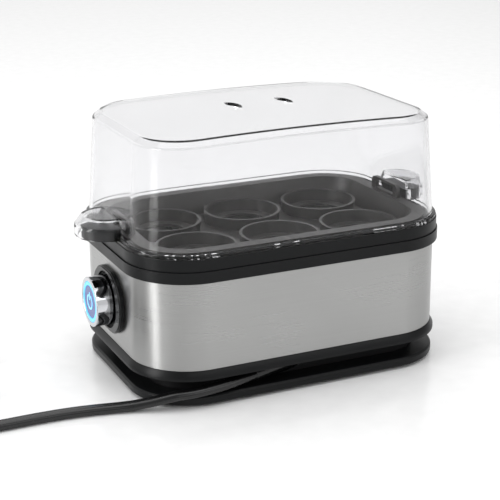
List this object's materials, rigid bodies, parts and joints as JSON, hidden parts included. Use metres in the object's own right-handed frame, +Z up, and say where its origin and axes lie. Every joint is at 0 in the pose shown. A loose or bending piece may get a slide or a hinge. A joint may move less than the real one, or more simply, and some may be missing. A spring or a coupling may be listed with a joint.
{
  "type": "egg cooker",
  "caption": "Electric steam egg cooker with a brushed steel body, a lift-out egg tray, a clear lid with end handles, a lit push button and a mains lead.",
  "frame": {"origin": "on the table under the middle of the cooker, with the mains lead left out", "axes": "+X along the length, away from the button; +Y towards the back, away from the side where the lead comes out; +Z up"},
  "size_m": [0.3616, 0.1317, 0.1385],
  "materials": {
    "rubber_black": "matt moulded rubber",
    "black_plastic": "satin moulded black plastic",
    "black_gloss": "polished black plastic",
    "zinc_screw": "zinc-plated steel",
    "brushed_steel": "stainless steel, brushed along its length",
    "silicone_red": "moulded silicone rubber",
    "dish_metal": "drawn stainless steel, satin",
    "rod_metal": "heat-tinted steel sheath",
    "strap_metal": "zinc-plated sheet steel",
    "bakelite": "brown phenolic moulding",
    "fuse_sleeve": "woven glass-fibre sleeve",
    "shield_aluminium": "bright rolled sheet",
    "block_cream": "moulded nylon",
    "cord_black": "smooth flexible PVC sheath",
    "wire_brown": "PVC insulation",
    "wire_blue": "PVC insulation",
    "board_green": "solder-masked circuit board",
    "led_lens": "clear epoxy",
    "spring_steel": "drawn spring wire",
    "button_chrome": "bright plated",
    "light_ring_blue": "lit translucent plastic",
    "button_cap_blue": "translucent plastic lit from behind",
    "mark_light": "lit translucent plastic",
    "tray_grey": "satin moulded grey plastic",
    "clear_plastic": "clear moulded polystyrene",
    "tie_black": "soft plastic strap",
    "plug_black": "moulded PVC",
    "pin_nickel": "nickel-plated brass"
  },
  "bodies": {
    "cooker": {"foot_pads": "rubber_black", "base_plate": "black_plastic", "base_screws": "zinc_screw", "cord_drum": "black_plastic", "lower_housing": "black_plastic", "housing_screws": "zinc_screw", "steel_band": "brushed_steel", "bezel_ring": "black_plastic", "deck_ring": "black_plastic", "dish_seal": "silicone_red", "heating_dish": "dish_metal", "heating_rod": "rod_metal", "rod_strap": "strap_metal", "strap_nuts": "zinc_screw", "thermostat": "bakelite", "thermal_fuse": "fuse_sleeve", "heat_shield": "shield_aluminium", "terminal_block": "block_cream", "cord_clamp": "black_plastic", "clamp_screws": "zinc_screw", "inner_lead": "cord_black", "live_wire": "wire_brown", "neutral_wire": "wire_blue", "surround": "black_gloss", "surround_nut": "black_plastic", "switch_bracket": "strap_metal", "switch_body": "black_plastic", "led_board": "board_green", "leds": "led_lens", "return_spring": "spring_steel", "cord_gland": "cord_black", "cord_lead": "cord_black", "cord_coil": "cord_black", "cord_tail": "cord_black", "cord_tie": "tie_black", "plug_body": "plug_black", "plug_pins": "pin_nickel"},
    "button": {"button_barrel": "button_chrome", "button_core": "black_plastic", "light_ring": "light_ring_blue", "button_cap": "button_cap_blue", "power_mark": "mark_light"},
    "tray": {"egg_tray": "tray_grey"},
    "lid": {"lid": "clear_plastic"}
  },
  "joints": [
    {"name": "tray_lift", "type": "slide", "parent": "cooker", "child": "tray", "axis": [0, 0, 1], "range_m": [0, 0.05]},
    {"name": "lid_lift", "type": "slide", "parent": "tray", "child": "lid", "axis": [0, 0, 1], "range_m": [0, 0.08]},
    {"name": "power_press", "type": "slide", "parent": "cooker", "child": "button", "axis": [1, 0, 0], "range_m": [0, 0.003], "stiffness_N_per_m": 500, "springref_m": -0.002}
  ]
}
